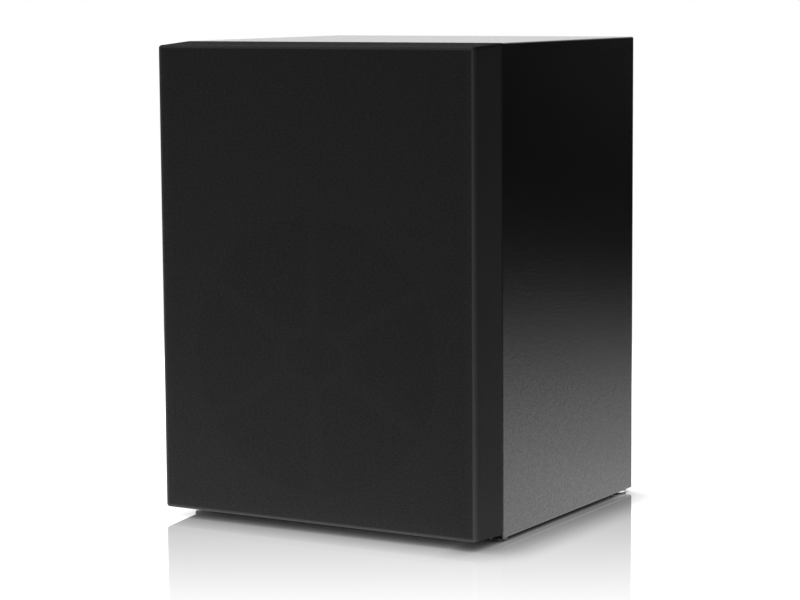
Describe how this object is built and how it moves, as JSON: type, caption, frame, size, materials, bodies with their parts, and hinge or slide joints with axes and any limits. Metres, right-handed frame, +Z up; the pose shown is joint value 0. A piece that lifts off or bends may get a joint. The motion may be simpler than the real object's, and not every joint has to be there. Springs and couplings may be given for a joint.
{
  "type": "bookshelf speaker",
  "caption": "Black two-way bookshelf loudspeaker with a deep cloth grille that pulls off, a cone woofer, a dome tweeter, a rear port and screw binding posts.",
  "frame": {"origin": "centre of the footprint, on the plane that the feet stand on", "axes": "+Z up, -Y out of the grille, +X to the right of someone looking along +Y at the front"},
  "size_m": [0.246, 0.2326, 0.3265],
  "materials": {
    "cabinet_vinyl": "black textured vinyl wrap, satin",
    "baffle_board": "fibreboard sprayed matt black",
    "grille_cloth": "black woven acoustic cloth",
    "moulded_abs": "fine textured black moulding",
    "clear_pad": "clear soft polyurethane",
    "black_steel": "black semi-gloss paint on stamped steel",
    "zinc_steel": "zinc plated",
    "black_screw": "black zinc plate, low gloss",
    "ferrite": "sintered ferrite, matt dark grey",
    "black_rubber": "matt butyl rubber",
    "cone_paper": "coated black paper pulp, matt",
    "copper_winding": "enamelled copper wire",
    "former_film": "amber polyimide film",
    "spider_cloth": "resin-doped woven cotton",
    "silk_dome": "coated silk, low sheen",
    "gold_plate": "gold plated brass, polished",
    "knob_red": "red plastic",
    "knob_black": "black plastic",
    "circuit_board": "green solder mask",
    "capacitor_film": "yellow tape wrap",
    "wadding_fleece": "white polyester fleece",
    "lead_pvc": "red PVC insulation"
  },
  "bodies": {
    "cabinet": {"bottom_panel": "cabinet_vinyl", "crossover_board": "circuit_board", "crossover_capacitor": "capacitor_film", "crossover_inductor": "copper_winding", "foot_back_left": "clear_pad", "foot_back_right": "clear_pad", "foot_front_left": "clear_pad", "foot_front_right": "clear_pad", "front_baffle": "baffle_board", "left_panel": "cabinet_vinyl", "peg_cup_1": "black_rubber", "peg_cup_2": "black_rubber", "peg_cup_3": "black_rubber", "peg_cup_4": "black_rubber", "port_tube": "moulded_abs", "post_stud_black": "gold_plate", "post_stud_red": "gold_plate", "rear_panel": "cabinet_vinyl", "right_panel": "cabinet_vinyl", "terminal_cup": "moulded_abs", "terminal_screw_1": "black_screw", "terminal_screw_2": "black_screw", "terminal_screw_3": "black_screw", "terminal_screw_4": "black_screw", "top_panel": "cabinet_vinyl", "tweeter_faceplate": "moulded_abs", "tweeter_magnet": "ferrite", "tweeter_screw_1": "black_screw", "tweeter_screw_2": "black_screw", "tweeter_screw_3": "black_screw", "tweeter_surround": "silk_dome", "tweeter_top_plate": "zinc_steel", "tweeter_yoke": "zinc_steel", "wadding": "wadding_fleece", "woofer_basket": "black_steel", "woofer_gasket": "black_rubber", "woofer_lead": "lead_pvc", "woofer_magnet": "ferrite", "woofer_screw_1": "black_screw", "woofer_screw_2": "black_screw", "woofer_screw_3": "black_screw", "woofer_screw_4": "black_screw", "woofer_spider": "spider_cloth", "woofer_surround": "black_rubber", "woofer_terminal_strip": "former_film", "woofer_top_plate": "zinc_steel", "woofer_yoke": "zinc_steel"},
    "grille": {"grille_frame": "moulded_abs", "grille_cloth": "grille_cloth"},
    "woofer_cone_group": {"woofer_cone": "cone_paper", "woofer_dust_cap": "cone_paper", "woofer_former": "former_film", "woofer_voice_coil": "copper_winding"},
    "tweeter_dome_group": {"tweeter_dome": "silk_dome", "tweeter_voice_coil": "copper_winding"},
    "collar_red": {"post_collar_red": "gold_plate"},
    "knob_red": {"post_knob_red": "knob_red"},
    "collar_black": {"post_collar_black": "gold_plate"},
    "knob_black": {"post_knob_black": "knob_black"}
  },
  "joints": [
    {"name": "grille_pull", "type": "slide", "parent": "cabinet", "child": "grille", "axis": [0, -1, 0], "range_m": [0, 0.1]},
    {"name": "woofer_excursion", "type": "slide", "parent": "cabinet", "child": "woofer_cone_group", "axis": [0, -1, 0], "range_m": [-0.005, 0.005], "stiffness_N_per_m": 1000, "deforming": ["woofer_surround", "woofer_spider"]},
    {"name": "tweeter_excursion", "type": "slide", "parent": "cabinet", "child": "tweeter_dome_group", "axis": [0, -1, 0], "range_m": [-0.0004, 0.0004], "stiffness_N_per_m": 1500, "deforming": ["tweeter_surround"]},
    {"name": "red_collar_travel", "type": "slide", "parent": "cabinet", "child": "collar_red", "axis": [0, 1, 0], "range_m": [0, 0.005]},
    {"name": "red_knob_turn", "type": "hinge", "parent": "collar_red", "child": "knob_red", "pos_m": [0.00953, 0.09125, 0.0945], "axis": [0, 1, 0], "range_deg": [0, 1440]},
    {"name": "black_collar_travel", "type": "slide", "parent": "cabinet", "child": "collar_black", "axis": [0, 1, 0], "range_m": [0, 0.005]},
    {"name": "black_knob_turn", "type": "hinge", "parent": "collar_black", "child": "knob_black", "pos_m": [-0.00953, 0.09125, 0.0945], "axis": [0, 1, 0], "range_deg": [0, 1440]}
  ],
  "couplings": [
    {"joint": "red_knob_turn", "follows": "red_collar_travel", "rad_per_m": 5026.5},
    {"joint": "black_knob_turn", "follows": "black_collar_travel", "rad_per_m": 5026.5}
  ]
}
